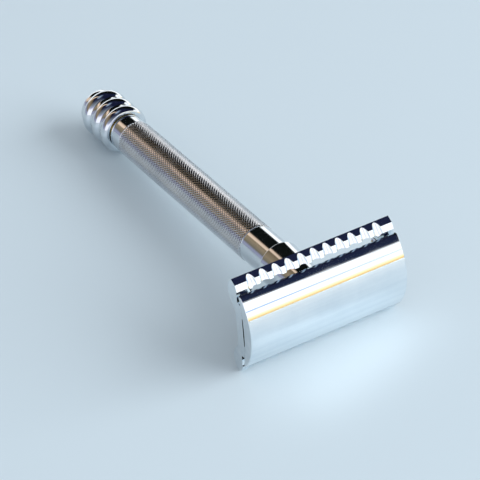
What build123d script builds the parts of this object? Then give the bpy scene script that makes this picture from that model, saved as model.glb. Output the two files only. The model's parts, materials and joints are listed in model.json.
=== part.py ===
"""Two-piece double-edge safety razor with a scalloped guard and a twist knob.

The razor lies on a table: the lower guard bar and the last ring of the knob
touch it. The row frame has +Z up and the table at Z = 0, the head's long side
along X, the cap facing -Y and the handle running back along +Y.

Every piece is drawn in the razor's own frame, which is laid down as a whole:
x along the head, y across it, z along the handle towards the cap. Its origin
is on the handle's axis, level with the outer lips of the guard bars.
"""

from math import asin, atan, cos, degrees, hypot, radians, sin, sqrt
import os

from build123d import *

os.makedirs("parts", exist_ok=True)

# Head. The blade that the head takes is 43 mm long and 22 mm wide, and the head
# is as long as the blade. No blade is fitted.
HEAD_LENGTH = 43.0
HALF_HEAD = HEAD_LENGTH / 2
CAP_HALF_WIDTH = 9.8
CAP_EDGE_Z = 4.25
CAP_CROWN_Z = 7.75
BAR_HALF_WIDTH = 13.0
BAR_LIP_Z = 0.5
BAR_RIDGE = (12.05, 2.1)
BAR_TOP = (10.5, 2.8)
BAR_FOOT_Z = -1.25

# The cap's hollow underside, which bends a blade over the plate's crown.
SEAT_RADIUS = 40.0
SEAT_CROWN_Z = 4.55
SEAT_GAP = 0.03

# Base plate.
PLATFORM_HALF_WIDTH = 7.4
END_FLOOR_Z = 2.55
SLOT_INNER = 6.6
SLOT_OUTER = 10.5
SLOT_LENGTH = 35.4
NOTCH_COUNT = 11
NOTCH_PITCH = 3.45
NOTCH_RADIUS = 0.8
NOTCH_FLARE = 13.5
NOTCH_FLOOR_OUTER = (12.84, 0.76)
NOTCH_FLOOR_INNER = (10.5, 2.11)
TAB_RELIEF_WIDTH = 7.8
TAB_RELIEF_LENGTH = 3.6
TAB_RELIEF_DEPTH = 0.45
CHANNEL_ROOF_Z = 1.4

# Cap fixings.
STUD_RADIUS = 2.5
STUD_CORE_RADIUS = 2.05
STUD_PITCH = 0.8
STUD_ROOT_Z = 6.6
STUD_TIP_Z = -6.0
STUD_CLEARANCE_RADIUS = 2.8
PIN_RADIUS = 1.0
PIN_HOLE_RADIUS = 1.15
PIN_OFFSET = 12.0
PIN_ROOT_Z = 6.1
PIN_TIP_Z = 0.2

# Collar and handle tube.
COLLAR_RADIUS = 5.8
COLLAR_TOP_RADIUS = 4.6
COLLAR_LOW_Z = -14.84
SPIGOT_RADIUS = 4.0
SPIGOT_TOP_Z = 3.0
SOCKET_TOP_Z = -8.0
TUBE_END_RADIUS = 4.5
TUBE_RADIUS = 4.9
KNURL_RADIUS = 5.05
KNURL_TOP_Z = -24.56
KNURL_LOW_Z = -85.0
TUBE_BORE_RADIUS = 3.9
TUBE_LOW_Z = -89.2

# Drawbar and what it turns in.
NUT_RADIUS = 3.25
NUT_TOP_Z = -1.9
NUT_LOW_Z = -15.0
NUT_BORE_RADIUS = 2.56
NUT_BORE_LOW_Z = -10.4
UPPER_BUSH_LOW_Z = -14.0
ROD_RADIUS = 2.0
ROD_TOP_Z = -11.0
NUT_PIN_RADIUS = 0.6
NUT_PIN_Z = -12.9
LOWER_BUSH_TOP_Z = -82.0
RUNNING_GAP = 0.05
END_GAP = 0.05
WASHER_THICKNESS = 0.4
WAVE_THICKNESS = 0.3
WAVE_HEIGHT = 0.9
RING_THICKNESS = 0.6
RING_GROOVE_RADIUS = 1.6
RING_RADIUS = 3.3

# Knob.
KNOB_TOP_Z = -89.65
KNOB_RING_RADIUS = 6.5
KNOB_VALLEY_RADIUS = 5.55
KNOB_RING_PITCH = 4.8
KNOB_RING_COUNT = 3
FIRST_RING_Z = -91.3
BEAD_HALF = 1.75
KNOB_LOW_Z = -104.9
END_CAP_Z = -106.3
END_CAP_RADIUS = 4.3
END_FLAT_RADIUS = 2.6
END_CAP_STEM_RADIUS = 3.7
END_CAP_STEM_LENGTH = 1.6
SCREW_SEAT_Z = -99.0
SCREW_HEAD_RADIUS = 2.6
SCREW_HEAD_HEIGHT = 1.7
SCREW_RADIUS = 1.25
SCREW_TIP_Z = -93.0

# How the razor lies. The line through the lip of the lower guard bar and the
# crest of the last ring is the table.
LAST_RING_Z = FIRST_RING_Z - (KNOB_RING_COUNT - 1) * KNOB_RING_PITCH
BEAD_HEIGHT = KNOB_RING_RADIUS - KNOB_VALLEY_RADIUS
BEAD_RADIUS = (BEAD_HALF**2 + BEAD_HEIGHT**2) / (2 * BEAD_HEIGHT)
TO_BEAD_CENTRE = BAR_HALF_WIDTH - KNOB_RING_RADIUS + BEAD_RADIUS
ALONG = BAR_LIP_Z - LAST_RING_Z
TILT = atan(TO_BEAD_CENTRE / ALONG) - asin(BEAD_RADIUS / hypot(TO_BEAD_CENTRE, ALONG))
CAP_RISE = CAP_CROWN_Z - CAP_EDGE_Z
CAP_RADIUS = (CAP_HALF_WIDTH**2 + CAP_RISE**2) / (2 * CAP_RISE)
CAP_CENTRE_Z = CAP_CROWN_Z - CAP_RADIUS
FRONT = CAP_RADIUS + CAP_CENTRE_Z * cos(TILT)
BACK = -END_CAP_Z * cos(TILT) + END_FLAT_RADIUS * sin(TILT)
HEAD_Y = (FRONT - BACK) / 2
HEAD_Z = BAR_HALF_WIDTH * cos(TILT) - BAR_LIP_Z * sin(TILT)

razor = Plane(
    origin=(0, HEAD_Y, HEAD_Z),
    x_dir=(1, 0, 0),
    z_dir=(0, -cos(TILT), sin(TILT)),
)
profile = Plane(origin=razor.origin, x_dir=razor.y_dir, z_dir=razor.x_dir)
handle_axis = Axis(razor.origin, razor.z_dir)
SEAT_CENTRE_Z = SEAT_CROWN_Z - SEAT_RADIUS


def level(z):
    """The plane square to the handle at height z."""
    return razor.offset(z)


def disc(radius, low, high, hole=0.0, mode=Mode.ADD):
    """A round bar, or a washer, about the handle's axis from low to high."""
    with BuildSketch(level(low)) as face:
        Circle(radius)
        if hole:
            Circle(hole, mode=Mode.SUBTRACT)
    extrude(face.sketch, amount=high - low, mode=mode)


def pillar(x, radius, low, high, mode=Mode.ADD):
    """A round bar along the handle's direction, x along the head."""
    with BuildSketch(level(low)) as face:
        with Locations((x, 0)):
            Circle(radius)
    extrude(face.sketch, amount=high - low, mode=mode)


def arc_height(radius, centre_z, y):
    """Height of an arc about a centre on the handle's axis, y across the head."""
    return centre_z + sqrt(radius**2 - y**2)


def over(radius, centre_z, half_width):
    """The three points of an arc over the head from +y to -y."""
    z = arc_height(radius, centre_z, half_width)
    return (half_width, z), (0, centre_z + radius), (-half_width, z)


# ---------------------------------------------------------------- base plate
CROWN_RADIUS = SEAT_RADIUS - SEAT_GAP
CROWN_EDGE_Z = arc_height(CROWN_RADIUS, SEAT_CENTRE_Z, PLATFORM_HALF_WIDTH)
LIP = (BAR_HALF_WIDTH, BAR_LIP_Z)
UNDERSIDE = [
    LIP,
    (12.1, -0.45),
    (10.9, -1.1),
    (9.4, BAR_FOOT_Z),
    (7.9, -0.85),
    (6.5, 0.05),
    (5.1, 1.05),
    (3.4, CHANNEL_ROOF_Z),
]
TOP_SIDE = [
    (PLATFORM_HALF_WIDTH, CROWN_EDGE_Z),
    (PLATFORM_HALF_WIDTH + 0.2, END_FLOOR_Z),
    (BAR_TOP[0] - 0.2, END_FLOOR_Z),
    BAR_TOP,
    BAR_RIDGE,
    LIP,
]


def flipped(points):
    """The same points on the other side of the head, in reverse order."""
    return [(-y, z) for y, z in reversed(points)]


with BuildPart() as base_plate:
    with BuildSketch(profile):
        with BuildLine():
            ThreePointArc(*over(CROWN_RADIUS, SEAT_CENTRE_Z, PLATFORM_HALF_WIDTH))
            Polyline(*TOP_SIDE)
            Polyline(*flipped(TOP_SIDE))
            Spline(*UNDERSIDE, tangents=[(-0.7, -0.7), (-1, 0)])
            Spline(*flipped(UNDERSIDE), tangents=[(-1, 0), (-0.7, 0.7)])
            Line(UNDERSIDE[-1], flipped(UNDERSIDE)[0])
        make_face()
    extrude(amount=HALF_HEAD, both=True)

    # Lather slots, right through the plate between the platform and the bars.
    with BuildSketch(level(BAR_FOOT_Z - 1)):
        with GridLocations(1, SLOT_INNER + SLOT_OUTER, 1, 2):
            SlotOverall(SLOT_LENGTH, SLOT_OUTER - SLOT_INNER)
    extrude(amount=10, mode=Mode.SUBTRACT)

    # Between the slots the platform is a flat bridge, open underneath.
    with BuildSketch(level(BAR_FOOT_Z - 1)):
        Rectangle(SLOT_LENGTH - 2, 2 * SLOT_INNER + 0.2)
    extrude(amount=CHANNEL_ROOF_Z - BAR_FOOT_Z + 1, mode=Mode.SUBTRACT)

    # Scallops across each guard bar. Their floors climb from the bar's lip to
    # its inner edge, and they flare on the way.
    run = Vector(*NOTCH_FLOOR_INNER) - Vector(*NOTCH_FLOOR_OUTER)
    lead_in = 1.2
    floor_start = Vector(*NOTCH_FLOOR_OUTER) - run.normalized() * lead_in
    cutter = run.normalized().rotate(Axis.Z, -NOTCH_FLARE)
    start_radius = NOTCH_RADIUS - lead_in * sin(radians(NOTCH_FLARE))
    begin = floor_start + Vector(cutter.Y, -cutter.X) * start_radius
    end = begin + cutter * (run.length + lead_in + 0.8)
    for side in (1, -1):
        start = razor.from_local_coords((0, side * begin.X, begin.Y))
        finish = razor.from_local_coords((0, side * end.X, end.Y))
        across = Plane(origin=start, x_dir=razor.x_dir, z_dir=finish - start)
        with BuildSketch(across) as scallops:
            with GridLocations(NOTCH_PITCH, 1, NOTCH_COUNT, 1):
                Circle(start_radius)
                with Locations((0, side * 2 * start_radius)):
                    Rectangle(2 * start_radius, 4 * start_radius)
        length = (finish - start).length
        extrude(scallops.sketch, amount=length, taper=-NOTCH_FLARE, mode=Mode.SUBTRACT)

    # A shallow relief at each end, where a blade's end tab lies.
    for side in (1, -1):
        with BuildSketch(level(SEAT_CROWN_Z - TAB_RELIEF_DEPTH)) as relief:
            with Locations((side * (HALF_HEAD - TAB_RELIEF_LENGTH / 2), 0)):
                Rectangle(TAB_RELIEF_LENGTH, TAB_RELIEF_WIDTH)
        extrude(relief.sketch, amount=2, mode=Mode.SUBTRACT)

    # Room for the collar, its spigot, the cap's stud and the two guide pins.
    disc(COLLAR_TOP_RADIUS + 0.1, BAR_FOOT_Z - 1, CHANNEL_ROOF_Z, mode=Mode.SUBTRACT)
    disc(SPIGOT_RADIUS, CHANNEL_ROOF_Z - 0.5, SPIGOT_TOP_Z, mode=Mode.SUBTRACT)
    disc(STUD_CLEARANCE_RADIUS, CHANNEL_ROOF_Z, 6, mode=Mode.SUBTRACT)
    for side in (1, -1):
        pillar(side * PIN_OFFSET, PIN_HOLE_RADIUS, -1, 6, Mode.SUBTRACT)
base_plate.part.label = "base_plate"

# ----------------------------------------------------------------------- cap
SEAT_EDGE_Z = arc_height(SEAT_RADIUS, SEAT_CENTRE_Z, CAP_HALF_WIDTH)

with BuildPart() as cap:
    with BuildSketch(profile):
        with BuildLine():
            ThreePointArc(*over(CAP_RADIUS, CAP_CENTRE_Z, CAP_HALF_WIDTH))
            Line((-CAP_HALF_WIDTH, CAP_EDGE_Z), (-CAP_HALF_WIDTH, SEAT_EDGE_Z))
            ThreePointArc(*over(SEAT_RADIUS, SEAT_CENTRE_Z, CAP_HALF_WIDTH))
            Line((CAP_HALF_WIDTH, SEAT_EDGE_Z), (CAP_HALF_WIDTH, CAP_EDGE_Z))
        make_face()
    extrude(amount=HALF_HEAD, both=True)
    disc(STUD_RADIUS, 3, STUD_ROOT_Z, mode=Mode.SUBTRACT)
    for side in (1, -1):
        pillar(side * PIN_OFFSET, PIN_RADIUS, 3, PIN_ROOT_Z, Mode.SUBTRACT)
cap.part.label = "cap"

# ---------------------------------------------------- threaded stud in the cap
# The thread is drawn as grooves one pitch apart, from the tip to above the nut.
THREAD_TOP_Z = 2.0
THREAD_TURNS = int((THREAD_TOP_Z - STUD_TIP_Z) / STUD_PITCH)

with BuildPart() as cap_stud:
    disc(STUD_RADIUS, STUD_TIP_Z, STUD_ROOT_Z)
    for turn in range(THREAD_TURNS):
        root = STUD_TIP_Z + (turn + 0.5) * STUD_PITCH
        with BuildSketch(profile) as groove:
            with BuildLine():
                Polyline(
                    (STUD_CORE_RADIUS, root),
                    (STUD_RADIUS + 0.1, root - 0.37),
                    (STUD_RADIUS + 0.1, root + 0.37),
                    close=True,
                )
            make_face()
        revolve(groove.sketch, axis=handle_axis, mode=Mode.SUBTRACT)
cap_stud.part.label = "cap_stud"

# ------------------------------------------------------- guide pins in the cap
with BuildPart() as guide_pin_left:
    pillar(-PIN_OFFSET, PIN_RADIUS, PIN_TIP_Z, PIN_ROOT_Z)
    chamfer(guide_pin_left.faces().sort_by(handle_axis)[0].edges(), 0.3)
guide_pin_left.part.label = "guide_pin_left"

with BuildPart() as guide_pin_right:
    pillar(PIN_OFFSET, PIN_RADIUS, PIN_TIP_Z, PIN_ROOT_Z)
    chamfer(guide_pin_right.faces().sort_by(handle_axis)[0].edges(), 0.3)
guide_pin_right.part.label = "guide_pin_right"

# -------------------------------------------------------------------- collar
with BuildPart() as neck_collar:
    with BuildSketch(profile) as cone:
        with BuildLine():
            Polyline(
                (0, COLLAR_LOW_Z),
                (COLLAR_RADIUS - 0.35, COLLAR_LOW_Z),
                (COLLAR_RADIUS, COLLAR_LOW_Z + 0.35),
                (COLLAR_TOP_RADIUS, CHANNEL_ROOF_Z),
                (0, CHANNEL_ROOF_Z),
                close=True,
            )
        make_face()
    revolve(cone.sketch, axis=handle_axis)
    disc(SPIGOT_RADIUS, CHANNEL_ROOF_Z, SPIGOT_TOP_Z)
    disc(TUBE_END_RADIUS, COLLAR_LOW_Z - 1, SOCKET_TOP_Z, mode=Mode.SUBTRACT)
    disc(NUT_RADIUS + 0.15, COLLAR_LOW_Z, NUT_TOP_Z + 0.3, mode=Mode.SUBTRACT)
    disc(STUD_CLEARANCE_RADIUS, COLLAR_LOW_Z, SPIGOT_TOP_Z + 1, mode=Mode.SUBTRACT)
neck_collar.part.label = "neck_collar"

# --------------------------------------------------------------- handle tube
with BuildPart() as handle_tube:
    disc(TUBE_RADIUS, TUBE_LOW_Z, COLLAR_LOW_Z)
    disc(TUBE_END_RADIUS, COLLAR_LOW_Z, SOCKET_TOP_Z)
    disc(KNURL_RADIUS, KNURL_LOW_Z, KNURL_TOP_Z)
    disc(TUBE_BORE_RADIUS, TUBE_LOW_Z - 1, SOCKET_TOP_Z + 1, mode=Mode.SUBTRACT)
handle_tube.part.label = "handle_tube"

# -------------------------------------------------------------------- bushes
with BuildPart() as upper_bush:
    disc(TUBE_BORE_RADIUS, UPPER_BUSH_LOW_Z, SOCKET_TOP_Z, hole=NUT_RADIUS + RUNNING_GAP)
upper_bush.part.label = "upper_bush"

with BuildPart() as lower_bush:
    disc(TUBE_BORE_RADIUS, TUBE_LOW_Z, LOWER_BUSH_TOP_Z, hole=ROD_RADIUS + RUNNING_GAP)
lower_bush.part.label = "lower_bush"

# ------------------------------------------- draw nut, its pin and the drawbar
with BuildPart() as draw_nut:
    disc(NUT_RADIUS, NUT_LOW_Z, NUT_TOP_Z)
    disc(NUT_BORE_RADIUS, NUT_BORE_LOW_Z, NUT_TOP_Z + 1, mode=Mode.SUBTRACT)
    disc(ROD_RADIUS, NUT_LOW_Z - 1, NUT_BORE_LOW_Z + 0.5, mode=Mode.SUBTRACT)
    with BuildSketch(profile.offset(-NUT_RADIUS)):
        with Locations((0, NUT_PIN_Z)):
            Circle(NUT_PIN_RADIUS)
    extrude(amount=2 * NUT_RADIUS, mode=Mode.SUBTRACT)
draw_nut.part.label = "draw_nut"

with BuildPart() as nut_pin:
    with BuildSketch(profile.offset(-NUT_RADIUS + 0.15)):
        with Locations((0, NUT_PIN_Z)):
            Circle(NUT_PIN_RADIUS)
    extrude(amount=2 * NUT_RADIUS - 0.3)
nut_pin.part.label = "nut_pin"

ROD_LOW_Z = SCREW_SEAT_Z + 0.3
RING_LOW_Z = LOWER_BUSH_TOP_Z + END_GAP + WAVE_HEIGHT + END_GAP
FLAT_HALF_WIDTH = 1.6

with BuildPart() as drawbar:
    disc(ROD_RADIUS, ROD_LOW_Z, ROD_TOP_Z)
    # groove for the retaining ring
    disc(ROD_RADIUS + 1, RING_LOW_Z, RING_LOW_Z + RING_THICKNESS,
         hole=RING_GROOVE_RADIUS, mode=Mode.SUBTRACT)
    # a flat on each side of the end that carries the knob
    with BuildSketch(level(ROD_LOW_Z)) as flats:
        with GridLocations(1, 2 * (FLAT_HALF_WIDTH + 1), 1, 2):
            Rectangle(6, 2)
    extrude(flats.sketch, amount=KNOB_TOP_Z - 0.8 - ROD_LOW_Z, mode=Mode.SUBTRACT)
    # hole for the nut's pin, and the tapped hole for the knob's screw
    with BuildSketch(profile.offset(-NUT_RADIUS)):
        with Locations((0, NUT_PIN_Z)):
            Circle(NUT_PIN_RADIUS)
    extrude(amount=2 * NUT_RADIUS, mode=Mode.SUBTRACT)
    disc(SCREW_RADIUS, ROD_LOW_Z - 1, SCREW_TIP_Z + 1.0, mode=Mode.SUBTRACT)
drawbar.part.label = "drawbar"

# ------------------------------------------------ washers and retaining ring
with BuildPart() as thrust_washer:
    disc(TUBE_RADIUS - 0.4, TUBE_LOW_Z - END_GAP - WASHER_THICKNESS + 0.05,
         TUBE_LOW_Z - END_GAP, hole=ROD_RADIUS + 0.1)
thrust_washer.part.label = "thrust_washer"

# A wave washer is drawn as its shallow cone: the same height, spring and bore.
with BuildPart() as wave_washer:
    with BuildSketch(profile) as dish:
        foot = LOWER_BUSH_TOP_Z + END_GAP
        with BuildLine():
            Polyline(
                (ROD_RADIUS + 0.1, foot + WAVE_HEIGHT - WAVE_THICKNESS),
                (ROD_RADIUS + 0.1, foot + WAVE_HEIGHT),
                (TUBE_BORE_RADIUS - 0.3, foot + WAVE_THICKNESS),
                (TUBE_BORE_RADIUS - 0.3, foot),
                close=True,
            )
        make_face()
    revolve(dish.sketch, axis=handle_axis)
wave_washer.part.label = "wave_washer"

with BuildPart() as retaining_ring:
    disc(RING_RADIUS, RING_LOW_Z, RING_LOW_Z + RING_THICKNESS, hole=RING_GROOVE_RADIUS)
    # the open jaw that lets the ring be pushed on from the side
    with BuildSketch(level(RING_LOW_Z)) as jaw:
        with Locations((0, RING_RADIUS)):
            Rectangle(2 * RING_GROOVE_RADIUS - 0.6, 2 * RING_RADIUS)
    extrude(jaw.sketch, amount=RING_THICKNESS, mode=Mode.SUBTRACT)
retaining_ring.part.label = "retaining_ring"

# ---------------------------------------------------------------------- knob
def bead(z):
    """The profile of one rounded ring, from its upper valley to its lower one."""
    return [
        (KNOB_VALLEY_RADIUS, z + BEAD_HALF),
        (KNOB_RING_RADIUS, z),
        (KNOB_VALLEY_RADIUS, z - BEAD_HALF),
    ]


with BuildPart() as knob:
    with BuildSketch(profile) as outline:
        with BuildLine():
            top = (KNOB_VALLEY_RADIUS - 0.35, KNOB_TOP_Z)
            Line((ROD_RADIUS, KNOB_TOP_Z), top)
            last = top
            for index in range(KNOB_RING_COUNT):
                points = bead(FIRST_RING_Z - index * KNOB_RING_PITCH)
                if index == 0:
                    points[0] = (KNOB_VALLEY_RADIUS - 0.35, KNOB_TOP_Z)
                else:
                    Line(last, points[0])
                ThreePointArc(*points)
                last = points[2]
            rim = (KNOB_VALLEY_RADIUS, KNOB_LOW_Z + 1.6)
            foot = (END_CAP_RADIUS + 0.15, KNOB_LOW_Z)
            Line(last, rim)
            ThreePointArc(rim, (KNOB_VALLEY_RADIUS - 0.25, KNOB_LOW_Z + 0.65), foot)
            Line(foot, (END_CAP_STEM_RADIUS, KNOB_LOW_Z))
            Line((END_CAP_STEM_RADIUS, KNOB_LOW_Z), (END_CAP_STEM_RADIUS, SCREW_SEAT_Z))
            Line((END_CAP_STEM_RADIUS, SCREW_SEAT_Z), (ROD_RADIUS, SCREW_SEAT_Z))
            Line((ROD_RADIUS, SCREW_SEAT_Z), (ROD_RADIUS, KNOB_TOP_Z))
        make_face()
    revolve(outline.sketch, axis=handle_axis)
    # the bore keeps two flats that match the drawbar's
    with BuildSketch(level(SCREW_SEAT_Z)) as keys:
        Circle(ROD_RADIUS)
        Rectangle(6, 2 * FLAT_HALF_WIDTH, mode=Mode.SUBTRACT)
    extrude(keys.sketch, amount=KNOB_TOP_Z - 0.8 - SCREW_SEAT_Z)
knob.part.label = "knob"

with BuildPart() as lock_washer:
    disc(SCREW_HEAD_RADIUS + 0.5, SCREW_SEAT_Z - 0.5, SCREW_SEAT_Z, hole=SCREW_RADIUS + 0.1)
lock_washer.part.label = "lock_washer"

SCREW_HEAD_TOP_Z = SCREW_SEAT_Z - 0.5

with BuildPart() as knob_screw:
    disc(SCREW_HEAD_RADIUS, SCREW_HEAD_TOP_Z - SCREW_HEAD_HEIGHT, SCREW_HEAD_TOP_Z)
    fillet(knob_screw.faces().sort_by(handle_axis)[0].edges(), 0.4)
    disc(SCREW_RADIUS, SCREW_HEAD_TOP_Z - 0.5, SCREW_TIP_Z)
    # straight driver slot in the head
    with BuildSketch(level(SCREW_HEAD_TOP_Z - SCREW_HEAD_HEIGHT)) as driver:
        Rectangle(2 * SCREW_HEAD_RADIUS + 1, 0.7)
    extrude(driver.sketch, amount=0.8, mode=Mode.SUBTRACT)
knob_screw.part.label = "knob_screw"

with BuildPart() as knob_end_cap:
    with BuildSketch(profile) as dome:
        with BuildLine():
            Line((0, KNOB_LOW_Z), (END_CAP_RADIUS, KNOB_LOW_Z))
            ThreePointArc(
                (END_CAP_RADIUS, KNOB_LOW_Z),
                (END_CAP_RADIUS - 0.55, KNOB_LOW_Z - 0.85),
                (END_FLAT_RADIUS, END_CAP_Z),
            )
            Line((END_FLAT_RADIUS, END_CAP_Z), (0, END_CAP_Z))
            Line((0, END_CAP_Z), (0, KNOB_LOW_Z))
        make_face()
    revolve(dome.sketch, axis=handle_axis)
    disc(END_CAP_STEM_RADIUS, KNOB_LOW_Z, KNOB_LOW_Z + END_CAP_STEM_LENGTH)
knob_end_cap.part.label = "knob_end_cap"

# --------------------------------------------------------------------- write
pieces = [
    base_plate, neck_collar, handle_tube, upper_bush, lower_bush,
    cap, cap_stud, guide_pin_left, guide_pin_right,
    drawbar, draw_nut, nut_pin, thrust_washer, wave_washer, retaining_ring,
    knob, lock_washer, knob_screw, knob_end_cap,
]
for piece in pieces:
    export_step(piece.part, f"parts/{piece.part.label}.step")

whole = Compound([piece.part for piece in pieces]).bounding_box()
print("tilt, degrees", round(degrees(TILT), 3))
print("axis", [round(v, 6) for v in razor.z_dir])
print("head origin, mm", [round(v, 4) for v in razor.origin])
print("box low, mm", [round(v, 4) for v in whole.min])
print("box high, mm", [round(v, 4) for v in whole.max])
print("size, mm", [round(v, 3) for v in whole.size])
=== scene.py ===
# %% [markdown]
# # A chromed safety razor, lying on a pale table
#
# The razor has a head of two parts, a scalloped base plate and a curved cap,
# on a knurled handle with a ringed knob at its end. Turning the knob turns a
# drawbar and a nut inside the handle, and the nut draws the cap's threaded
# stud down. This lesson gives each part its real finish: polished chrome where
# it shows, bright steel and brass where it works.
#
# We start with the fixed frame, the engineer's solids. They already lie where
# they belong, so everything we make is placed by them and none of them moves.

# %% Load the fixed frame
import json
from math import asin, atan2, cos, degrees, pi, radians, sin, sqrt

import bmesh
import bpy
from mathutils import Matrix, Vector


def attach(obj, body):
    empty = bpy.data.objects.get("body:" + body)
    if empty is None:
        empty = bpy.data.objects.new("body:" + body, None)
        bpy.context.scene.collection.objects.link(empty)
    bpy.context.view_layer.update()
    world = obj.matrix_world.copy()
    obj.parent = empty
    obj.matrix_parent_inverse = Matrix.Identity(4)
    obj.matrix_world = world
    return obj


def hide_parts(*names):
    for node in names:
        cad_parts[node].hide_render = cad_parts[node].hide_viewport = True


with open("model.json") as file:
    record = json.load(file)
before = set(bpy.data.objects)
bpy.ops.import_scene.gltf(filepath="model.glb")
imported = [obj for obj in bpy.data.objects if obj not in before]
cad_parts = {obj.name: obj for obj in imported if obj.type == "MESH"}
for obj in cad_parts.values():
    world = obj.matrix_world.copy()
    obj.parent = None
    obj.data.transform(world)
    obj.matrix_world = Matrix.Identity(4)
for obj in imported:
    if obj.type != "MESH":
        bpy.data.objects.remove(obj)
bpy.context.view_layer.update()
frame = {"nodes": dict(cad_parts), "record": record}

print("nodes in the frame:", len(frame["nodes"]))

# %% [markdown]
# ## Work in the razor's own frame
#
# The razor lies a few degrees off level, on its lower guard bar and the last
# ring of its knob. Drawing tilted parts is hard, so each one is drawn in
# millimetres in the razor's own frame: x along the head, y across it, z along
# the handle towards the cap. One matrix, made from the knob's hinge, then lays
# the finished part down. The hinge sits on the handle's axis, 96 mm below the
# head's origin, and its axis points away from the cap.

# %% The razor's own frame
HINGE_TO_HEAD = 0.096  # metres
hinge = next(j for j in frame["record"]["behaviour"]["joints"] if j["name"] == "knob_turn")
towards_cap = -Vector(hinge["axis"]).normalized()
head_origin = Vector(hinge["pos_m"]) + HINGE_TO_HEAD * towards_cap
across_head = towards_cap.cross(Vector((1, 0, 0)))
LAY_DOWN = Matrix.Translation(head_origin) @ Matrix(
    ((1, across_head.x, towards_cap.x, 0),
     (0, across_head.y, towards_cap.y, 0),
     (0, across_head.z, towards_cap.z, 0),
     (0, 0, 0, 1))
) @ Matrix.Scale(0.001, 4)
print("tilt off level, degrees:", round(degrees(asin(towards_cap.z)), 3))

# %% [markdown]
# ## One way to finish every part
#
# A lathe, a cutter and a mould all leave a closed skin. So after a part is
# shaped, its doubled points are merged, its faces are turned outwards, and it
# is laid down. Faces that meet at a shallow angle are shaded as one curve, and
# a real edge stays an edge. Where a small rounded edge meets a large face, the
# shading follows the large face, or the mirror would look bent along its whole
# length. The last lines say which body the part moves with and which solid it
# stands for.

# %% Finish a part
def finish_part(name, bm, finish, body, node, crease=35, placed=False):
    """Turns a bmesh in the razor's own millimetres into a part of the scene."""
    if not placed:
        bmesh.ops.remove_doubles(bm, verts=bm.verts, dist=0.0005)
        bmesh.ops.recalc_face_normals(bm, faces=bm.faces)
        bmesh.ops.transform(bm, matrix=LAY_DOWN, verts=bm.verts)
    for face in bm.faces:
        face.smooth = True
    for edge in bm.edges:
        edge.smooth = edge.calc_face_angle(0.0) < radians(crease)
    open_edges = sum(1 for edge in bm.edges if not edge.is_manifold)
    mesh = bpy.data.meshes.new(name)
    bm.to_mesh(mesh)
    triangles = sum(len(face.verts) - 2 for face in bm.faces)
    bm.free()
    mesh.materials.append(finish)
    part = bpy.data.objects.new(name, mesh)
    bpy.context.collection.objects.link(part)
    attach(part, body)
    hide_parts(node)
    true_faces(part)
    print(f"{name}: {triangles} triangles, {open_edges} open edges")
    return part


def true_faces(part):
    """Lets the largest faces set the shading, after any other modifier."""
    weighted = part.modifiers.new("true_faces", "WEIGHTED_NORMAL")
    weighted.mode = "FACE_AREA"
    weighted.weight = 50
    weighted.keep_sharp = True


# %% [markdown]
# ## Colours and nodes
#
# Colours are written as the hex values that a colour picker shows, and one
# function turns them to the linear values that light adds up in. One small
# function adds any node, with its settings and its links.

# %% Colour and node helpers
def linear(hex_colour):
    """The linear red, green, blue and alpha of an sRGB hex colour."""
    parts = [int(hex_colour[i:i + 2], 16) / 255 for i in (1, 3, 5)]
    return tuple(c / 12.92 if c <= 0.04045 else ((c + 0.055) / 1.055) ** 2.4 for c in parts) + (1.0,)


def add(tree, kind, inputs=None, **settings):
    """Adds one node. An input is a value, or the output that feeds it."""
    made = tree.nodes.new(kind)
    for name, value in settings.items():
        setattr(made, name, value)
    for name, value in (inputs or {}).items():
        if isinstance(value, bpy.types.NodeSocket):
            tree.links.new(value, made.inputs[name])
        else:
            made.inputs[name].default_value = value
    return made


def new_material(name):
    """An empty material with a Principled shader already on its output."""
    material = bpy.data.materials.new(name)
    material.use_nodes = True
    tree = material.node_tree
    tree.nodes.clear()
    shader = add(tree, "ShaderNodeBsdfPrincipled")
    add(tree, "ShaderNodeOutputMaterial", {"Surface": shader.outputs["BSDF"]})
    return material, tree, shader


# %% [markdown]
# ## Polished chrome plate
#
# The head, collar and knob are brass, buffed and plated with nickel and then
# chrome. Chrome is a clear mirror with a slightly blue cast, so its colour is
# nearly all reflection. What makes it look real is what spoils the mirror: the
# faint lines that the buffing wheel leaves, the slow waviness of the metal
# under them, and a film of fingers and soap that blurs it in patches.
#
# Buffing lines are a hundredth of a millimetre wide, far too fine to show.
# They are drawn 0.25 mm apart and much longer than wide.

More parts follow.
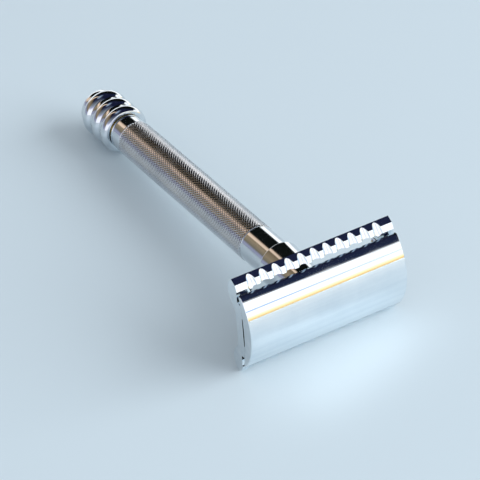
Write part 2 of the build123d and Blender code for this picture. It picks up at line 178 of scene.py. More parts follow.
# %% Chrome for the head and the knob
def chrome(name, tint, blur, buff_stretch, waviness):
    """Chrome plate, with its buffing lines long in the given direction."""
    material, tree, shader = new_material(name)
    place = add(tree, "ShaderNodeTexCoord").outputs["Object"]
    # a film of touch marks, in patches about 9 mm across
    film = add(tree, "ShaderNodeTexNoise",
               {"Vector": place, "Scale": 110.0, "Detail": 5.0, "Roughness": 0.62})
    blurred = add(tree, "ShaderNodeMapRange",
                  {"Value": film.outputs["Fac"], "From Min": 0.42, "From Max": 0.72,
                   "To Min": blur[0], "To Max": blur[1]})
    # buffing lines, 0.25 mm apart
    along = add(tree, "ShaderNodeMapping", {"Vector": place, "Scale": buff_stretch})
    lines = add(tree, "ShaderNodeTexNoise",
                {"Vector": along.outputs["Vector"], "Scale": 4000.0, "Detail": 2.0})
    streaked = add(tree, "ShaderNodeMath", {0: lines.outputs["Fac"], 1: 0.03, 2: blurred.outputs["Result"]},
                   operation="MULTIPLY_ADD")
    # the metal under the plate is wavy over a few millimetres, by microns
    swell = add(tree, "ShaderNodeTexNoise", {"Vector": place, "Scale": 260.0, "Detail": 1.0})
    wave = add(tree, "ShaderNodeBump",
               {"Strength": 1.0, "Distance": waviness, "Height": swell.outputs["Fac"]})
    buffed = add(tree, "ShaderNodeBump",
                 {"Strength": 0.35, "Distance": 0.0000006, "Height": lines.outputs["Fac"],
                  "Normal": wave.outputs["Normal"]})
    # soft streaks of the buffing wheel, about 1.5 mm wide, which thin the film
    wiped = add(tree, "ShaderNodeTexNoise",
                {"Vector": along.outputs["Vector"], "Scale": 650.0, "Detail": 3.0})
    both = add(tree, "ShaderNodeMath", {0: film.outputs["Fac"], 1: wiped.outputs["Fac"]}, operation="ADD")
    faint = add(tree, "ShaderNodeMapRange", {"Value": both.outputs[0], "From Min": 0.75, "From Max": 1.3})
    shade = add(tree, "ShaderNodeMix", {0: faint.outputs[0]}, data_type="RGBA")
    shade.inputs[6].default_value = linear(tint[0])
    shade.inputs[7].default_value = linear(tint[1])
    tree.links.new(shade.outputs[2], shader.inputs["Base Color"])
    tree.links.new(streaked.outputs[0], shader.inputs["Roughness"])
    tree.links.new(buffed.outputs["Normal"], shader.inputs["Normal"])
    shader.inputs["Metallic"].default_value = 1.0
    return material


# each is its name, clean and filmed colour, least and most blur, the way that
# its buffing lines run, and how wavy the metal is, in metres
head_chrome = chrome("polished_chrome_plate", ("#F1F6F9", "#DFE8EE"),
                     (0.03, 0.10), (0.02, 1.0, 1.0), 0.0000022)
turned_chrome = chrome("turned_chrome_plate", ("#DEE4E8", "#CDD4DA"),
                       (0.04, 0.12), (1.0, 0.02, 1.0), 0.0000016)
knurl_chrome = chrome("knurled_chrome_plate", ("#D9DBDE", "#BFC3C8"),
                      (0.13, 0.26), (1.0, 0.05, 1.0), 0.0000016)
print("chrome finishes:", head_chrome.name, turned_chrome.name, knurl_chrome.name)

# %% [markdown]
# ## Bright steel, spring steel and brass
#
# The working parts aren't plated. The drawbar, stud, pins and screw are turned
# stainless steel, whose tool marks are fine rings. The washers and the
# retaining ring are blued spring steel, darker and browner. The nut and the
# bushes are brass, yellow and a little dull with grease. The tool marks are
# rings a tenth of a millimetre apart along the handle.

# %% Metals for the working parts
def machined(name, tint, blur, ring_depth):
    """A turned metal: fine rings square to the handle, and dull patches."""
    material, tree, shader = new_material(name)
    place = add(tree, "ShaderNodeTexCoord").outputs["Object"]
    dull = add(tree, "ShaderNodeTexNoise", {"Vector": place, "Scale": 400.0, "Detail": 4.0})
    rough = add(tree, "ShaderNodeMapRange",
                {"Value": dull.outputs["Fac"], "From Min": 0.35, "From Max": 0.75,
                 "To Min": blur[0], "To Max": blur[1]})
    # tool marks: a noise squeezed along the handle, so that it varies 0.1 mm by 0.1 mm
    squeezed = add(tree, "ShaderNodeMapping", {"Vector": place, "Scale": (0.03, 1.0, 0.03)})
    rings = add(tree, "ShaderNodeTexNoise",
                {"Vector": squeezed.outputs["Vector"], "Scale": 10000.0, "Detail": 1.0})
    scored = add(tree, "ShaderNodeBump",
                 {"Strength": 0.6, "Distance": ring_depth, "Height": rings.outputs["Fac"]})
    shade = add(tree, "ShaderNodeMix", {"Factor": dull.outputs["Fac"]}, data_type="RGBA")
    shade.inputs[6].default_value = linear(tint[0])
    shade.inputs[7].default_value = linear(tint[1])
    tree.links.new(shade.outputs[2], shader.inputs["Base Color"])
    tree.links.new(rough.outputs["Result"], shader.inputs["Roughness"])
    tree.links.new(scored.outputs["Normal"], shader.inputs["Normal"])
    shader.inputs["Metallic"].default_value = 1.0
    return material


bright_steel = machined("turned_stainless_steel", ("#D3D2CE", "#B9B8B4"), (0.16, 0.30), 0.000004)
spring_steel = machined("blued_spring_steel", ("#7E7A78", "#565661"), (0.24, 0.40), 0.000002)
brass = machined("turned_brass", ("#E6C677", "#C29A4B"), (0.18, 0.36), 0.000004)
print("working metals:", bright_steel.name, spring_steel.name, brass.name)

# %% [markdown]
# ## Turned profiles
#
# The collar, tube and knob come off a lathe, and spin is Blender's lathe. A
# profile is drawn as half a section, radius to the right and height upwards.
# Straight cuts are edges, and a curve is a single point spun about its centre.
# Every corner of a plated part is soft, because polish rounds it and plating
# builds up on it. So a corner gets a small vertex bevel before the profile is
# spun all the way round.

# %% The lathe
def cut(bm, *points):
    """Straight cuts from point to point of a profile, given as radius and height."""
    made = [bm.verts.new((radius, 0, height)) for radius, height in points]
    for one, other in zip(made, made[1:]):
        bm.edges.new((one, other))
    return made


def curve(bm, start, centre, turn, steps):
    """A curve of a profile: a point spun about a centre, by degrees. It returns its end."""
    first = bm.verts.new((start[0], 0, start[1]))
    swept = bmesh.ops.spin(bm, geom=[first], cent=(centre[0], 0, centre[1]), axis=(0, 1, 0),
                           angle=radians(turn), steps=steps)
    last = swept["geom_last"][0]
    return last.co.x, last.co.z


def soften(bm, size, segments=4):
    """Rounds the sharp corners of a profile that aren't on the handle's axis."""
    bmesh.ops.remove_doubles(bm, verts=bm.verts, dist=0.0005)
    corners = []
    for vert in bm.verts:
        if len(vert.link_edges) == 2 and vert.co.x > 0.01:
            one, other = [edge.other_vert(vert).co - vert.co for edge in vert.link_edges]
            if one.angle(other) < radians(160):
                corners.append(vert)
    bmesh.ops.bevel(bm, geom=corners, offset=size, offset_type="OFFSET", segments=segments, profile=0.5,
                    affect="VERTICES", material=-1)


def lathe(bm, steps=128):
    """Spins the profile all the way round the handle's axis."""
    bmesh.ops.spin(bm, geom=bm.verts[:] + bm.edges[:], cent=(0, 0, 0), axis=(0, 0, 1),
                   angle=2 * pi, steps=steps, use_merge=True)
    bmesh.ops.remove_doubles(bm, verts=bm.verts, dist=0.0005)


# %% [markdown]
# ## The neck collar
#
# The collar joins head and handle. It is a plain turned cone, slimmer at the
# head, over the tube's end. Its lower lip stands a millimetre proud of the
# tube, so a small shadow line separates them. Inside it is bored for the tube
# and the nut, and a spigot on top is pressed into the base plate.

# %% Collar
bm = bmesh.new()
cut(bm, (4.5, -14.84), (5.5, -14.84), (5.8, -14.5), (4.6, 1.4), (4.0, 1.4), (4.0, 3.0), (2.8, 3.0),
    (2.8, -1.6), (3.4, -1.6), (3.4, -8.0), (4.5, -8.0), (4.5, -14.84))
soften(bm, 0.12)
lathe(bm)
finish_part("neck_collar_turned", bm, turned_chrome, "handle", "neck_collar")

# %% [markdown]
# ## The knurled handle
#
# The grip is knurled: two crossed sets of grooves are rolled into the tube and
# leave diamonds, about 0.7 mm round the tube by 1 mm along it. A texture would
# look flat where the tube turns away, so the diamonds are real. A plain
# cylinder of cells is poked, which puts a point in the middle of each cell.
# Dissolving the cells' own edges then leaves diamonds, and insetting each one
# with a little height makes the flat-topped pyramids that a knurling wheel
# leaves. Plating rounds them, which the finish's blur stands for.

# %% Handle tube
bm = bmesh.new()
cut(bm, (3.9, -89.2), (4.9, -89.2), (4.9, -85.0), (4.75, -84.85), (4.75, -24.71), (4.9, -24.56),
    (4.9, -14.84), (4.5, -14.84), (4.5, -8.0), (3.9, -8.0), (3.9, -89.2))
soften(bm, 0.1, segments=3)
lathe(bm)

# %% [markdown]
# The sleeve of diamonds is closed inside the tube's shallow groove, so that it
# is a solid skin of its own. Its end cells stay plain and slope down to it.

# %% Knurl
AROUND, ROWS = 44, 60
KNURL_TOP, KNURL_LOW = -24.56, -85.0
END_SLOPE = 0.25  # the plain slope at each end of the knurl
SLEEVE_RADIUS, SLEEVE_BORE = 4.97, 4.7
sleeve = bmesh.new()
bmesh.ops.create_circle(sleeve, cap_ends=False, radius=SLEEVE_RADIUS, segments=AROUND,
                        matrix=Matrix.Translation((0, 0, KNURL_LOW + END_SLOPE)))
ring = sleeve.edges[:]
step = (KNURL_TOP - KNURL_LOW - 2 * END_SLOPE) / ROWS
for row in range(ROWS):
    grown = bmesh.ops.extrude_edge_only(sleeve, edges=ring)["geom"]
    ring = [item for item in grown if isinstance(item, bmesh.types.BMEdge)]
    tops = [item for item in grown if isinstance(item, bmesh.types.BMVert)]
    bmesh.ops.translate(sleeve, verts=tops, vec=(0, 0, step))
cells = sleeve.edges[:]
bmesh.ops.poke(sleeve, faces=sleeve.faces[:])
for vert in sleeve.verts:
    # a poked point lies on the chord of its cell, so it is pushed out to the circle
    out = Vector((vert.co.x, vert.co.y, 0)).normalized() * SLEEVE_RADIUS
    vert.co = Vector((out.x, out.y, vert.co.z))

# %% [markdown]
# Each cell now has a raised middle. Without the edges between cells, every two
# halves become one diamond. The insets lean inwards as they rise by 0.055 mm,
# which leaves the flat top of each pyramid.

# %% Diamonds
inner_cells = [edge for edge in cells if len(edge.link_faces) == 2]
bmesh.ops.dissolve_edges(sleeve, edges=inner_cells, use_verts=False)
diamonds = [face for face in sleeve.faces if len(face.verts) == 4]
bmesh.ops.recalc_face_normals(sleeve, faces=sleeve.faces)
if diamonds[0].normal.dot(diamonds[0].calc_center_median() * Vector((1, 1, 0))) < 0:
    bmesh.ops.reverse_faces(sleeve, faces=sleeve.faces)
bmesh.ops.inset_individual(sleeve, faces=diamonds, thickness=0.11, depth=0.055)
print("diamonds in the knurl:", len(diamonds))

# %% [markdown]
# Both ends of the sleeve are drawn in to a smaller circle, and a bridge
# between the two circles closes its inside. A small helper then adds one
# bmesh to another, so that tube and knurl are one part with two finishes.

# %% Close the sleeve and join it to the tube
def join_into(bm, extra):
    """Adds a second bmesh to the first and frees it."""
    carrier = bpy.data.meshes.new("carrier")
    extra.to_mesh(carrier)
    extra.free()
    bm.from_mesh(carrier)
    bpy.data.meshes.remove(carrier)


for height in (KNURL_LOW + END_SLOPE, KNURL_TOP - END_SLOPE):
    rim = [edge for edge in sleeve.edges if edge.is_boundary and abs(edge.verts[0].co.z - height) < 0.01]
    grown = bmesh.ops.extrude_edge_only(sleeve, edges=rim)["geom"]
    inner = [item for item in grown if isinstance(item, bmesh.types.BMVert)]
    shrink = SLEEVE_BORE / SLEEVE_RADIUS
    bmesh.ops.scale(sleeve, verts=inner, vec=(shrink, shrink, 1))
    outwards = -0.1 if height == KNURL_LOW + END_SLOPE else 0.1
    bmesh.ops.translate(sleeve, verts=inner, vec=(0, 0, outwards))
bmesh.ops.bridge_loops(sleeve, edges=[edge for edge in sleeve.edges if edge.is_boundary])
bmesh.ops.recalc_face_normals(sleeve, faces=sleeve.faces)
knurl_start = len(bm.faces)
join_into(bm, sleeve)
handle = finish_part("handle_tube_knurled", bm, turned_chrome, "handle", "handle_tube")
handle.data.materials.append(knurl_chrome)
for polygon in handle.data.polygons:
    polygon.material_index = 1 if polygon.index >= knurl_start else 0

# %% [markdown]
# ## The knob
#
# Three rounded rings give the fingers a grip, with narrow valleys between
# them. Each ring is a curve of its own, and the valleys are short straight
# cuts. The bore steps from the drawbar's size to the end cap's stem.

# %% Knob
bm = bmesh.new()
RING, VALLEY, HALF = 6.5, 5.55, 1.75
KNOB_TOP, FIRST_CREST, RING_PITCH = -89.65, -91.3, 4.8
rise = RING - VALLEY
ring_radius = (HALF**2 + rise**2) / (2 * rise)
half_turn = degrees(asin(HALF / ring_radius))
last = (5.2, KNOB_TOP)
cut(bm, (2.0, KNOB_TOP), last)
for index in range(3):
    crest = FIRST_CREST - RING_PITCH * index
    start = (VALLEY, crest + HALF)
    if index == 0:
        # the first ring is cut off by the knob's top face, 0.1 mm short of its valley
        above = KNOB_TOP - crest
        start = (RING - ring_radius + sqrt(ring_radius**2 - above**2), KNOB_TOP)
        turn = half_turn + degrees(asin(above / ring_radius))
    else:
        turn = 2 * half_turn
    cut(bm, last, start)
    last = curve(bm, start, (RING - ring_radius, crest), turn, 24)
cut(bm, last, (5.55, -103.3), (5.42, -104.2), (5.0, -104.75), (4.45, -104.9), (3.7, -104.9), (3.7, -99.0),
    (2.0, -99.0), (2.0, KNOB_TOP))
soften(bm, 0.18)
lathe(bm)
finish_part("knob_ringed", bm, turned_chrome, "knob", "knob", crease=45)

# %% [markdown]
# ## The knob's end cap
#
# A small turned button closes the knob and hides its screw. Its rim is a
# rounded shoulder and its face is flat, with two fine rings that a facing tool
# would cut so that the button doesn't look like a plain disc.

# %% End cap
bm = bmesh.new()
cut(bm, (0.0, -103.3), (3.7, -103.3), (3.7, -104.9), (4.3, -104.9), (4.2, -105.3), (3.8, -105.75),
    (3.3, -106.05), (2.6, -106.29), (2.1, -106.3), (2.0, -106.2), (1.9, -106.3), (0.0, -106.3))
soften(bm, 0.1, segments=3)
lathe(bm, steps=96)
finish_part("knob_end_button", bm, turned_chrome, "knob", "knob_end_cap", crease=50)

# %% [markdown]
# ## The cap
#
# The cap is drawn wire, an arc of metal cut to the blade's length. Its section
# has a large outer curve, a flatter hollow underneath that bends the blade,
# and two upright edges. Each curve is one point spun about its own centre, so
# it is as true as a mirror needs. The section is filled and pushed out to
# 43 mm, and its edges get the small radius that polishing leaves.

# %% Cap section and length
bm = bmesh.new()
HALF_LENGTH, HALF_WIDTH, CROWN, EDGE = 21.5, 9.8, 7.75, 4.25
outer_radius = (HALF_WIDTH**2 + (CROWN - EDGE)**2) / (2 * (CROWN - EDGE))
seat_radius, seat_crown = 40.0, 4.55
seat_edge = seat_crown - seat_radius + sqrt(seat_radius**2 - HALF_WIDTH**2)
for height, radius, centre, steps in (
    (EDGE, outer_radius, CROWN - outer_radius, 72),
    (seat_edge, seat_radius, seat_crown - seat_radius, 40),
):
    first = bm.verts.new((-HALF_LENGTH, HALF_WIDTH, height))
    bmesh.ops.spin(bm, geom=[first], cent=(0, 0, centre), axis=(1, 0, 0),
                   angle=2 * asin(HALF_WIDTH / radius), steps=steps)
for side in (1, -1):
    low = bm.verts.new((-HALF_LENGTH, side * HALF_WIDTH, seat_edge))
    high = bm.verts.new((-HALF_LENGTH, side * HALF_WIDTH, EDGE))
    bm.edges.new((low, high))
bmesh.ops.remove_doubles(bm, verts=bm.verts, dist=0.0005)
section = bmesh.ops.contextual_create(bm, geom=bm.edges[:])["faces"]
pushed = bmesh.ops.extrude_face_region(bm, geom=section)["geom"]
ends = [item for item in pushed if isinstance(item, bmesh.types.BMVert)]
bmesh.ops.translate(bm, verts=ends, vec=(2 * HALF_LENGTH, 0, 0))
bmesh.ops.recalc_face_normals(bm, faces=bm.faces)
print("outer curve of the cap, radius in mm:", round(outer_radius, 2))

# %% [markdown]
# A polishing wheel takes more from the two ends of the cap than from its long
# edges, so the end arcs get a wide round edge first and every other sharp edge
# gets a small one.


# %% Rolled ends and soft edges
def on_end_arc(edge):
    """True for the edge between an end face and the outer curve."""
    return all(abs(abs(v.co.x) - HALF_LENGTH) < 0.001
               and abs(Vector((v.co.y, v.co.z - CROWN + outer_radius)).length - outer_radius) < 0.001
               for v in edge.verts)


rolled = [edge for edge in bm.edges if on_end_arc(edge)]
bmesh.ops.bevel(bm, geom=rolled, offset=0.42, offset_type="OFFSET", segments=6, profile=0.5,
                affect="EDGES", clamp_overlap=True, material=-1)
sharp = [edge for edge in bm.edges if edge.calc_face_angle(0.0) > radians(25)]
bmesh.ops.bevel(bm, geom=sharp, offset=0.12, offset_type="OFFSET", segments=3, profile=0.5,
                affect="EDGES", clamp_overlap=True, material=-1)
finish_part("cap_curved", bm, head_chrome, "cap", "cap", crease=40)

# %% [markdown]
# ## The base plate
#
# The plate is stamped and milled: a crowned platform, two guard bars cut with
# scallops, and lather slots between them. The engineer's solid already has
# this shape. What it lacks is the soft edge that plating gives, and that edge
# is what catches the light. So a copy of its mesh is merged, its flat
# triangles are joined back into whole faces, and a bevel modifier rounds the
# edges by a tenth of a millimetre.

# %% Copies of CAD solids with softened edges
def softened_copy(name, node, finish, body, edge_mm, segments=2):
    """A merged copy of a CAD node with its sharp edges rounded."""
    bm = bmesh.new()
    bm.from_mesh(frame["nodes"][node].data)
    bmesh.ops.remove_doubles(bm, verts=bm.verts, dist=0.000002)
    bmesh.ops.dissolve_limit(bm, angle_limit=radians(0.4), verts=bm.verts, edges=bm.edges)
    part = finish_part(name, bm, finish, body, node, crease=30, placed=True)
    if edge_mm:
        part.modifiers.clear()
        soft = part.modifiers.new("soft_edge", "BEVEL")
        soft.limit_method = "ANGLE"
        soft.angle_limit = radians(28)
        soft.width = edge_mm * 0.001
        soft.segments = segments
        true_faces(part)
    return part


softened_copy("base_plate_scalloped", "base_plate", head_chrome, "handle", 0.11, segments=3)

# %% [markdown]
# ## The threaded stud
#
# A thread is one tooth swept along a helix. Spin does that when it is given a
# little travel with each step. The ends of such a thread are ragged, so two
# cuts trim it flat, and the plain shank is a turned piece above it.

# %% Stud with its thread
PITCH, TURNS = 0.8, 12
bm = bmesh.new()
cut(bm, (2.05, 0.0), (2.05, 0.08), (2.46, 0.34), (2.46, 0.46), (2.05, 0.72), (2.05, 0.8))
bmesh.ops.translate(bm, verts=bm.verts, vec=(0, 0, -6.9))
bmesh.ops.spin(bm, geom=bm.verts[:] + bm.edges[:], cent=(0, 0, 0), axis=(0, 0, 1),
               dvec=(0, 0, PITCH / 36), angle=2 * pi * TURNS, steps=36 * TURNS)
bmesh.ops.remove_doubles(bm, verts=bm.verts, dist=0.002)
for height, facing in ((-6.0, -1), (2.0, 1)):
    bmesh.ops.bisect_plane(bm, geom=bm.verts[:] + bm.edges[:] + bm.faces[:], dist=0.0001,
                           plane_co=(0, 0, height), plane_no=(0, 0, facing), clear_outer=True)
    rim = [edge for edge in bm.edges if edge.is_boundary and abs(edge.verts[0].co.z - height) < 0.001
           and abs(edge.verts[1].co.z - height) < 0.001]
    bmesh.ops.contextual_create(bm, geom=rim)
shank = bmesh.new()
cut(shank, (0.0, 1.7), (2.3, 1.7), (2.5, 1.95), (2.5, 6.6), (0.0, 6.6))
lathe(shank, steps=64)
join_into(bm, shank)
finish_part("cap_stud_threaded", bm, bright_steel, "cap", "cap_stud", crease=28)

# %% [markdown]
# ## Guide pins
#
# Two pins keep the cap square while it lifts. Each is a turned pin with a
# domed tip, which finds its hole without catching.

# %% Guide pins
for side, label in ((-1, "left"), (1, "right")):
    bm = bmesh.new()
    cut(bm, (0.0, 0.2), (0.55, 0.2), (0.85, 0.42), (1.0, 0.75), (1.0, 6.1), (0.0, 6.1))
    soften(bm, 0.12, segments=4)
    lathe(bm, steps=48)
    bmesh.ops.translate(bm, verts=bm.verts, vec=(12.0 * side, 0, 0))
    finish_part(f"guide_pin_{label}_domed", bm, bright_steel, "cap", f"guide_pin_{label}")

# %% [markdown]
# ## Parts inside the handle
#
# The drawbar, nut, bushes and pin are plain turned parts, and the engineer's
# solids show all of their features. A copy of each keeps its shape and gets
# softened edges and its own metal.

# %% Turned parts inside
softened_copy("drawbar_turned", "drawbar", bright_steel, "knob", 0.12)
softened_copy("knob_screw_turned", "knob_screw", bright_steel, "knob", 0.08)
softened_copy("nut_pin_ground", "nut_pin", bright_steel, "knob", 0.06)
softened_copy("draw_nut_turned", "draw_nut", brass, "knob", 0.12)
softened_copy("upper_bush_turned", "upper_bush", brass, "handle", 0.08)
softened_copy("lower_bush_turned", "lower_bush", brass, "handle", 0.08)
softened_copy("thrust_washer_turned", "thrust_washer", brass, "knob", 0.05)
softened_copy("retaining_ring_stamped", "retaining_ring", spring_steel, "knob", 0.05)

# %% [markdown]
# ## Spring washers
#
# Two washers are springs. The wave washer takes up the drawbar's end play: it
# is a flat ring pressed into three waves, so the ring is turned first and then
# each point is raised by a cosine of its angle. The lock washer under the
# knob's screw is a ring of wire cut through at a slant. A spin that stops just
# short of a full turn leaves the cut, and a twist with height slants it.

# %% Wave washer
WAVE_MIDDLE, WAVE_RISE = -81.5, 0.3
bm = bmesh.new()
cut(bm, (2.1, -0.15), (3.6, -0.15), (3.6, 0.15), (2.1, 0.15), (2.1, -0.15))
soften(bm, 0.05, segments=2)
lathe(bm, steps=96)
for vert in bm.verts:
    vert.co.z += WAVE_MIDDLE + WAVE_RISE * cos(3 * atan2(vert.co.y, vert.co.x))
finish_part("wave_washer_waved", bm, spring_steel, "knob", "wave_washer")

# %% Lock washer
SCREW_SEAT = -99
bm = bmesh.new()
cut(bm, (1.35, -0.5), (3.1, -0.5), (3.1, 0.0), (1.35, 0.0), (1.35, -0.5))
soften(bm, 0.06, segments=2)
bmesh.ops.spin(bm, geom=bm.verts[:] + bm.edges[:], cent=(0, 0, 0), axis=(0, 0, 1),
               angle=radians(350), steps=64)
bmesh.ops.holes_fill(bm, edges=[edge for edge in bm.edges if edge.is_boundary], sides=0)
for vert in bm.verts:
    vert.co = Matrix.Rotation(0.4 * vert.co.z, 3, "Z") @ vert.co
    vert.co.z += SCREW_SEAT
finish_part("lock_washer_split", bm, spring_steel, "knob", "lock_washer")

# %% [markdown]
# ## Table, light and surroundings
#
# Chrome shows what is round it, so the surroundings are most of its look. The
# table is plain, pale, satin paint, whose slight sheen the cap reflects. The
# light on it is even, with one large low lamp to the right that drops a gentle
# shadow to the left. The mirror surfaces see a quiet room: a broad white window
# band low down, a warm line where wall and table meet, and a dark ceiling.

# %% Table
bm = bmesh.new()
bmesh.ops.create_grid(bm, x_segments=1, y_segments=1, size=6.0)
mesh = bpy.data.meshes.new("table")
bm.to_mesh(mesh)
bm.free()
table = bpy.data.objects.new("table", mesh)
bpy.context.collection.objects.link(table)
paint, tree, shader = new_material("satin_pale_paint")
shader.inputs["Base Color"].default_value = linear("#D4E3EA")
shader.inputs["Roughness"].default_value = 0.36
table.data.materials.append(paint)

# %% [markdown]
# The room is a world of soft bands by height, two sets for the side that faces
# the cap and two for the side behind the handle. Plain even light reaches the
# table instead, so that the bands only show in the metal.

# %% Room
world = bpy.data.worlds.new("room")
bpy.context.scene.world = world
world.use_nodes = True
tree = world.node_tree
tree.nodes.clear()
direction = add(tree, "ShaderNodeTexCoord").outputs["Generated"]
parts = add(tree, "ShaderNodeSeparateXYZ", {0: direction})
height = add(tree, "ShaderNodeMath", {0: parts.outputs["Z"], 1: 0.5, 2: 0.5},
             operation="MULTIPLY_ADD").outputs[0]
around = add(tree, "ShaderNodeMath", {0: parts.outputs["X"], 1: parts.outputs["Y"]},
             operation="ARCTAN2").outputs[0]

# the window's top edge falls away to the right, as a far edge does
lean = add(tree, "ShaderNodeMapRange",
           {"Value": parts.outputs["X"], "From Min": 0.33, "From Max": 0.47, "To Min": -0.07, "To Max": 0.07})
higher = add(tree, "ShaderNodeMapRange",
             {"Value": parts.outputs["Z"], "From Min": 0.15, "From Max": 0.45, "To Min": 0.0, "To Max": 0.62})
leaning = add(tree, "ShaderNodeMath", {0: lean.outputs[0], 1: higher.outputs[0], 2: height},
              operation="MULTIPLY_ADD").outputs[0]


# %% [markdown]
# Each set of bands is one colour ramp. A stop is written as the angle above
# the horizon at which the colour is seen, so the list reads like a view of the
# room from table to ceiling.


# %% Bands by height
def bands(by, *stops):
    """A ramp by height: each stop is an elevation in degrees and a colour."""
    ramp = add(tree, "ShaderNodeValToRGB", {"Fac": by})
    elements = ramp.color_ramp.elements
    for index, (elevation, colour) in enumerate(stops):
        at = 0.5 + 0.5 * sin(radians(elevation))
        element = elements[index] if index < 2 else elements.new(at)
        element.position = at
        element.color = linear(colour)
    return ramp.outputs["Color"]


front_right = bands(
    leaning,
    (-90, "#B4C2CC"), (-0.9, "#B4C2CC"), (-0.4, "#A3A48E"), (0.4, "#D6B06C"), (1.6, "#F6CB86"),
    (4.2, "#FDE9B4"), (7.0, "#FFF8E4"), (9.5, "#FFFFFF"), (13.6, "#FFFFFF"), (15.2, "#6F9ADB"),
    (16.8, "#FFFFFF"), (29.2, "#FFFFFF"),
    (31.4, "#1B2338"), (50, "#12162C"), (74, "#1A1E36"), (85, "#8FA0B4"),
)
front_left = bands(
    height,
    (-90, "#A3AFB9"), (-1.0, "#A3AFB9"), (2.0, "#F4F3FA"), (21, "#F0EEFA"), (30, "#9A9CB4"), (40, "#7A8086"),
    (58, "#43485A"), (74, "#1A1E36"), (85, "#8FA0B4"),
)
back_right = bands(
    height,
    (-90, "#B4C2CC"), (-0.5, "#B4C2CC"), (1.0, "#FFFFFF"), (16.5, "#FFFFFF"), (19.0, "#0A0D0C"),
    (50, "#0A0D0C"), (74, "#1A1E36"), (85, "#8FA0B4"),
)
back_left = bands(
    height,
    (-90, "#8E9BA4"), (-1, "#8E9BA4"), (1, "#8E92A6"), (9, "#86889E"), (15, "#6E675A"),
    (28, "#8A7A64"), (46, "#6A5A47"), (58, "#1C1A22"), (74, "#1A1E36"), (85, "#8FA0B4"),
)
print("bands of the room: two in front and two behind")

# %% [markdown]
# The four sets are mixed by compass direction: left and right behind the
# handle, with a pale door edge between them, then left and right in front,
# and last front and back. One more mix sends the bands to mirrors only and
# gives every other surface plain, even light.

# %% Join the bands
left = add(tree, "ShaderNodeMapRange",
           {"Value": around, "From Min": radians(-9), "From Max": radians(-15),
            "To Min": 0.0, "To Max": 1.0})
back = add(tree, "ShaderNodeMix", {0: left.outputs[0]}, data_type="RGBA")
tree.links.new(back_right, back.inputs[6])
tree.links.new(back_left, back.inputs[7])
# a pale door edge between the dark and the brown wall
edge_on = add(tree, "ShaderNodeMapRange",
              {"Value": around, "From Min": radians(-25), "From Max": radians(-23),
               "To Min": 0.0, "To Max": 1.0})
edge_off = add(tree, "ShaderNodeMapRange",
               {"Value": around, "From Min": radians(-16), "From Max": radians(-8),
                "To Min": 1.0, "To Max": 0.0})
edge = add(tree, "ShaderNodeMath", {0: edge_on.outputs[0], 1: edge_off.outputs[0]}, operation="MULTIPLY")
above = add(tree, "ShaderNodeMapRange",
            {"Value": parts.outputs["Z"], "From Min": 0.05, "From Max": 0.2, "To Min": 0.0, "To Max": 0.9})
door = add(tree, "ShaderNodeMath", {0: edge.outputs[0], 1: above.outputs[0]}, operation="MULTIPLY")
with_door = add(tree, "ShaderNodeMix", {0: door.outputs[0]}, data_type="RGBA")
tree.links.new(back.outputs[2], with_door.inputs[6])
with_door.inputs[7].default_value = linear("#E3C6AE")
sideways = add(tree, "ShaderNodeMapRange",
               {"Value": parts.outputs["X"], "From Min": -0.12, "From Max": 0.2,
                "To Min": 0.0, "To Max": 1.0})
front = add(tree, "ShaderNodeMix", {0: sideways.outputs[0]}, data_type="RGBA")
tree.links.new(front_left, front.inputs[6])
tree.links.new(front_right, front.inputs[7])
facing = add(tree, "ShaderNodeMapRange",
             {"Value": parts.outputs["Y"], "From Min": 0.12, "From Max": -0.12,
              "To Min": 0.0, "To Max": 1.0})
room = add(tree, "ShaderNodeMix", {0: facing.outputs[0]}, data_type="RGBA")
tree.links.new(with_door.outputs[2], room.inputs[6])
tree.links.new(front.outputs[2], room.inputs[7])
seen = add(tree, "ShaderNodeBackground", {"Color": room.outputs[2], "Strength": 1.45})
even = add(tree, "ShaderNodeBackground", {"Color": linear("#F4F8FF"), "Strength": 0.635})
ray = add(tree, "ShaderNodeLightPath")
mixed = add(tree, "ShaderNodeMixShader",
            {0: ray.outputs["Is Glossy Ray"], 1: even.outputs[0], 2: seen.outputs[0]})
add(tree, "ShaderNodeOutputWorld", {"Surface": mixed.outputs[0]})

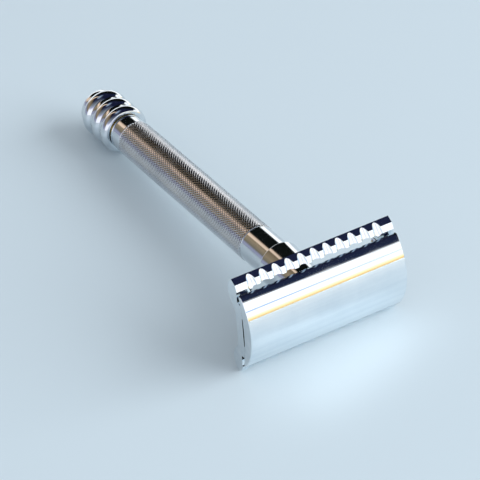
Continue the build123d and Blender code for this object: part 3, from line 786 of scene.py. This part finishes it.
# %% [markdown]
# The lamp is a large soft panel, low and to the right, a little in front. A low
# lamp throws a long soft shadow from the head and a faint one from the handle.
# It is kept out of the mirrors, where the window band already stands for it.

# %% Soft lamp
panel = bpy.data.lights.new("soft_panel", "AREA")
panel.shape = "ELLIPSE"
panel.size = 2.6
panel.size_y = 1.7
panel.energy = 54.0
panel.color = linear("#F8FBFF")[:3]
lamp = bpy.data.objects.new("soft_panel", panel)
stand = Vector((1.45, -1.35, 0.95))
lamp.matrix_world = Matrix.Translation(stand) @ stand.to_track_quat("Z", "Y").to_matrix().to_4x4()
lamp.visible_glossy = False
bpy.context.collection.objects.link(lamp)

# %% [markdown]
# The polished cap throws window light back on to the table in front of it. A
# strip of very weak light along the cap's lower edge does the same and lifts
# the contact shadow. Neither mirrors nor the camera see it.

# %% Bounce in front of the cap
bounce = bpy.data.lights.new("bounce_panel", "AREA")
bounce.shape = "RECTANGLE"
bounce.size = 0.04
bounce.size_y = 0.008
bounce.energy = 0.0009
bounce.color = linear("#F4FAFF")[:3]
card = bpy.data.objects.new("bounce_panel", bounce)
stand, aim = Vector((0.004, -0.0645, 0.012)), Vector((0.003, -0.061, 0.0))
card.matrix_world = Matrix.Translation(stand) @ (stand - aim).to_track_quat("Z", "Y").to_matrix().to_4x4()
card.visible_glossy = False
card.visible_camera = False
bpy.context.collection.objects.link(card)

# %% [markdown]
# ## Camera
#
# A long lens, about 190 mm on a full frame, looks down at the razor from the
# front left, from 0.65 m. The picture is turned by under three degrees.

# %% Camera
lens = bpy.data.cameras.new("camera")
lens.sensor_width = 36.0
lens.lens = 193.72
lens.clip_start = 0.01
camera = bpy.data.objects.new("camera", lens)
bpy.context.collection.objects.link(camera)
camera.matrix_world = (
    Matrix.Translation((-0.248686, -0.451899, 0.388099))
    @ Matrix.Rotation(radians(-29.725), 4, "Z")
    @ Matrix.Rotation(radians(90 - 37.196), 4, "X")
    @ Matrix.Rotation(radians(-2.723), 4, "Z")
)
bpy.context.scene.camera = camera
bpy.context.scene.view_settings.view_transform = "Standard"
print("camera at", [round(v, 3) for v in camera.location])
